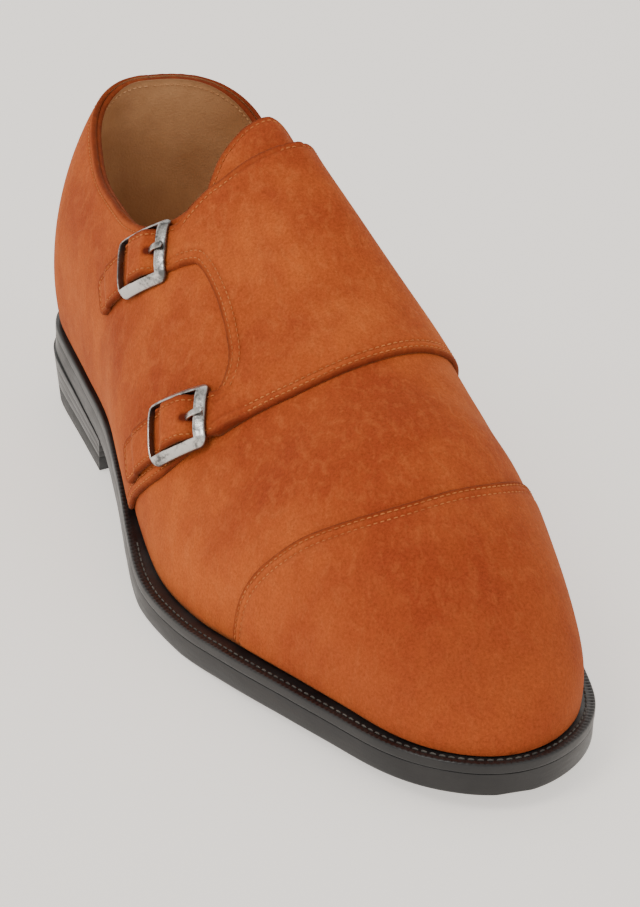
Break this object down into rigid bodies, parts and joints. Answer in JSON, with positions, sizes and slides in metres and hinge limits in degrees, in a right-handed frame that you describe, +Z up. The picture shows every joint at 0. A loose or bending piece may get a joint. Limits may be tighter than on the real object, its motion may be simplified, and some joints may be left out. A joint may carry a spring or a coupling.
{
  "type": "monk strap shoe",
  "caption": "Suede monk strap shoe for the right foot, with a toe cap, buckled straps over the instep, a welted leather sole and a stacked heel.",
  "frame": {"origin": "middle of the shoe's bounding box, on the floor it stands on", "axes": "+X towards the toe, +Y towards the inner side of the foot, +Z up"},
  "size_m": [0.2956, 0.1032, 0.1184],
  "materials": {
    "suede": "brushed nap, matt, mottled",
    "lining": "smooth, satin",
    "sole_leather": "black, waxed edge",
    "heel_rubber": "matt black",
    "insole_leather": "smooth, satin",
    "buckle_metal": "polished, worn, dark in the hollows"
  },
  "bodies": {
    "root": {"outsole": "sole_leather", "welt": "sole_leather", "seat_rand": "sole_leather", "heel_stack": "sole_leather", "top_piece": "heel_rubber", "insole": "insole_leather", "upper": "suede", "tongue": "suede", "toe_cap": "suede", "lateral_quarter": "suede", "strap_quarter": "suede", "buckle_tab_upper": "suede", "buckle_frame_upper": "buckle_metal", "buckle_prong_upper": "buckle_metal", "buckle_tab_lower": "suede", "buckle_frame_lower": "buckle_metal", "buckle_prong_lower": "buckle_metal"}
  },
  "joints": []
}
